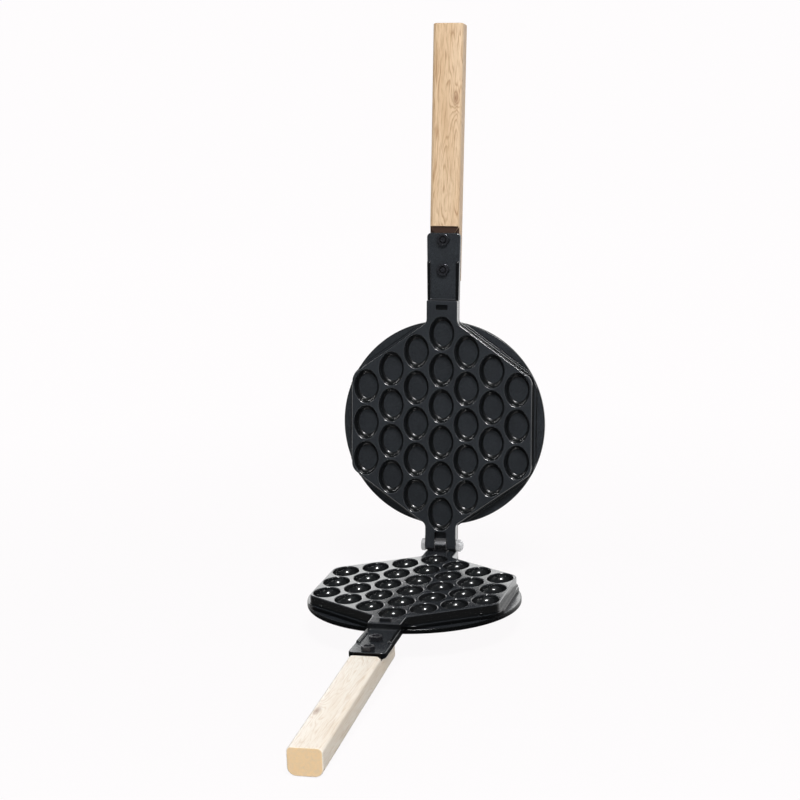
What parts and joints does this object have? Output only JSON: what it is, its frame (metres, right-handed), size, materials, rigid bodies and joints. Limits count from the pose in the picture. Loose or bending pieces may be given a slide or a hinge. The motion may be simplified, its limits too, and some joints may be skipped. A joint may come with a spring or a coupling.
{
  "type": "egg waffle pan",
  "caption": "Hinged stovetop pan for egg waffles: two round cast halves with staggered oval cells and a long wooden handle each.",
  "frame": {"origin": "centre of the lower half's fire ring, on the plane it rests on", "axes": "+Z out of the lower half's cooking face, +Y towards the hinge, -Y along the lower handle, +X to the right seen from the handle"},
  "size_m": [0.1844, 0.5575, 0.5085],
  "materials": {
    "coating": "cast, with black non-stick coating",
    "wood": "pale pine, sanded",
    "steel": "zinc plated"
  },
  "bodies": {
    "lower": {"lower_pan": "coating", "lower_handle": "wood", "lower_handle_inner_bolt": "steel", "lower_handle_outer_bolt": "steel", "lower_handle_inner_nut": "steel", "lower_handle_outer_nut": "steel"},
    "upper": {"upper_pan": "coating", "upper_handle": "wood", "upper_handle_inner_bolt": "steel", "upper_handle_outer_bolt": "steel", "upper_handle_inner_nut": "steel", "upper_handle_outer_nut": "steel", "hinge_bolt": "steel", "hinge_nut": "steel"}
  },
  "joints": [
    {"name": "lid_hinge", "type": "hinge", "parent": "lower", "child": "upper", "pos_m": [0, 0.11, 0.0205], "axis": [1, 0, 0], "range_deg": [0, 96.8]}
  ]
}
